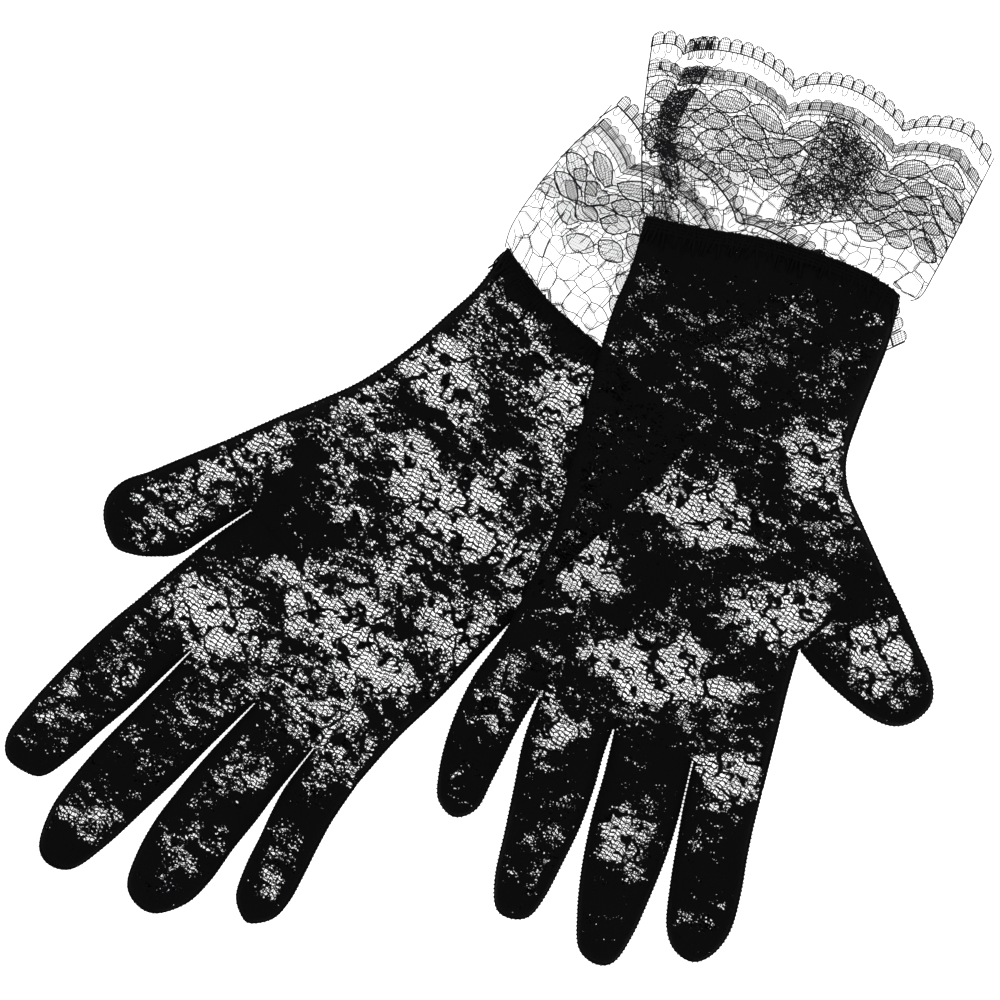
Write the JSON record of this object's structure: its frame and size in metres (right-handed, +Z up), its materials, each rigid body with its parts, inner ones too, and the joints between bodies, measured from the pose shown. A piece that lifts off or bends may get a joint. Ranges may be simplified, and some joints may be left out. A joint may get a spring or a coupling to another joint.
{
  "type": "glove pair",
  "caption": "Pair of short lace dress gloves with gathered ruffle cuffs, laid palm up with one partly over the other.",
  "frame": {"origin": "middle of the pair as laid, on the table the gloves rest on", "axes": "+X across the pair from the lower glove towards the upper one, +Y from the fingertips towards the cuffs, +Z up from the table"},
  "size_m": [0.2868, 0.2658, 0.0113],
  "materials": {
    "body_lace": "floral stretch lace, two layers",
    "cuff_lace": "open edging lace, gathered",
    "edge_seam": "overlocked thread edge",
    "wrist_seam": "gathered seam, several layers"
  },
  "bodies": {
    "right_hand": {"right_palm_panel": "body_lace", "right_back_panel": "body_lace", "right_outer_side_seam": "edge_seam", "right_thumb_side_seam": "edge_seam", "right_thumb_web_seam": "edge_seam", "right_wrist_seam_palm": "wrist_seam", "right_wrist_seam_back": "wrist_seam", "right_cuff_palm_side": "cuff_lace", "right_cuff_back_side": "cuff_lace"},
    "right_thumb": {"right_thumb_palm_panel": "body_lace", "right_thumb_back_panel": "body_lace", "right_thumb_edge_seam": "edge_seam"},
    "right_index": {"right_index_palm_panel": "body_lace", "right_index_back_panel": "body_lace", "right_index_edge_seam": "edge_seam"},
    "right_middle": {"right_middle_palm_panel": "body_lace", "right_middle_back_panel": "body_lace", "right_middle_edge_seam": "edge_seam"},
    "right_ring": {"right_ring_palm_panel": "body_lace", "right_ring_back_panel": "body_lace", "right_ring_edge_seam": "edge_seam"},
    "right_pinky": {"right_pinky_palm_panel": "body_lace", "right_pinky_back_panel": "body_lace", "right_pinky_edge_seam": "edge_seam"},
    "left_hand": {"left_palm_panel": "body_lace", "left_back_panel": "body_lace", "left_outer_side_seam": "edge_seam", "left_thumb_side_seam": "edge_seam", "left_thumb_web_seam": "edge_seam", "left_wrist_seam_palm": "wrist_seam", "left_wrist_seam_back": "wrist_seam"},
    "left_cuff": {"left_cuff_palm_side": "cuff_lace", "left_cuff_back_side": "cuff_lace"},
    "left_thumb": {"left_thumb_palm_panel": "body_lace", "left_thumb_back_panel": "body_lace", "left_thumb_edge_seam": "edge_seam"},
    "left_index": {"left_index_palm_panel": "body_lace", "left_index_back_panel": "body_lace", "left_index_edge_seam": "edge_seam"},
    "left_middle": {"left_middle_palm_panel": "body_lace", "left_middle_back_panel": "body_lace", "left_middle_edge_seam": "edge_seam"},
    "left_ring": {"left_ring_palm_panel": "body_lace", "left_ring_back_panel": "body_lace", "left_ring_edge_seam": "edge_seam"},
    "left_pinky": {"left_pinky_palm_panel": "body_lace", "left_pinky_back_panel": "body_lace", "left_pinky_edge_seam": "edge_seam"}
  },
  "joints": [
    {"name": "right_thumb_fold", "type": "hinge", "parent": "right_hand", "child": "right_thumb", "pos_m": [-0.07488, 0.00874, 0.004], "axis": [-0.3703, 0.9289, 0], "range_deg": [0, 90]},
    {"name": "right_index_fold", "type": "hinge", "parent": "right_hand", "child": "right_index", "pos_m": [-0.09701, -0.03552, 0.004], "axis": [-0.7827, 0.6223, 0], "range_deg": [0, 90]},
    {"name": "right_middle_fold", "type": "hinge", "parent": "right_hand", "child": "right_middle", "pos_m": [-0.07905, -0.04995, 0.004], "axis": [-0.7768, 0.6297, 0], "range_deg": [0, 90]},
    {"name": "right_ring_fold", "type": "hinge", "parent": "right_hand", "child": "right_ring", "pos_m": [-0.06109, -0.06402, 0.004], "axis": [-0.7984, 0.6021, 0], "range_deg": [0, 90]},
    {"name": "right_pinky_fold", "type": "hinge", "parent": "right_hand", "child": "right_pinky", "pos_m": [-0.04592, -0.07565, 0.004], "axis": [-0.7871, 0.6169, 0], "range_deg": [0, 90]},
    {"name": "left_thumb_fold", "type": "hinge", "parent": "left_hand", "child": "left_thumb", "pos_m": [0.10129, -0.03119, 0.004], "axis": [-0.7452, -0.6669, 0], "range_deg": [0, 90]},
    {"name": "left_index_fold", "type": "hinge", "parent": "left_hand", "child": "left_index", "pos_m": [0.06797, -0.07864, 0.004], "axis": [-0.9257, 0.3782, 0], "range_deg": [0, 90]},
    {"name": "left_middle_fold", "type": "hinge", "parent": "left_hand", "child": "left_middle", "pos_m": [0.04617, -0.06979, 0.004], "axis": [-0.9275, 0.3738, 0], "range_deg": [0, 90]},
    {"name": "left_ring_fold", "type": "hinge", "parent": "left_hand", "child": "left_ring", "pos_m": [0.02366, -0.0605, 0.004], "axis": [-0.921, 0.3896, 0], "range_deg": [0, 90]},
    {"name": "left_pinky_fold", "type": "hinge", "parent": "left_hand", "child": "left_pinky", "pos_m": [0.0036, -0.05191, 0.0096], "axis": [-0.9173, 0.3981, 0], "range_deg": [0, 90]},
    {"name": "left_cuff_turn_back", "type": "hinge", "parent": "left_hand", "child": "left_cuff", "pos_m": [0.08091, 0.07241, 0.0113], "axis": [0.9534, -0.3018, 0], "range_deg": [0, 150]},
    {"name": "left_glove_lift", "type": "slide", "parent": "right_hand", "child": "left_hand", "axis": [0, 0, 1], "range_m": [0, 0.12]}
  ]
}
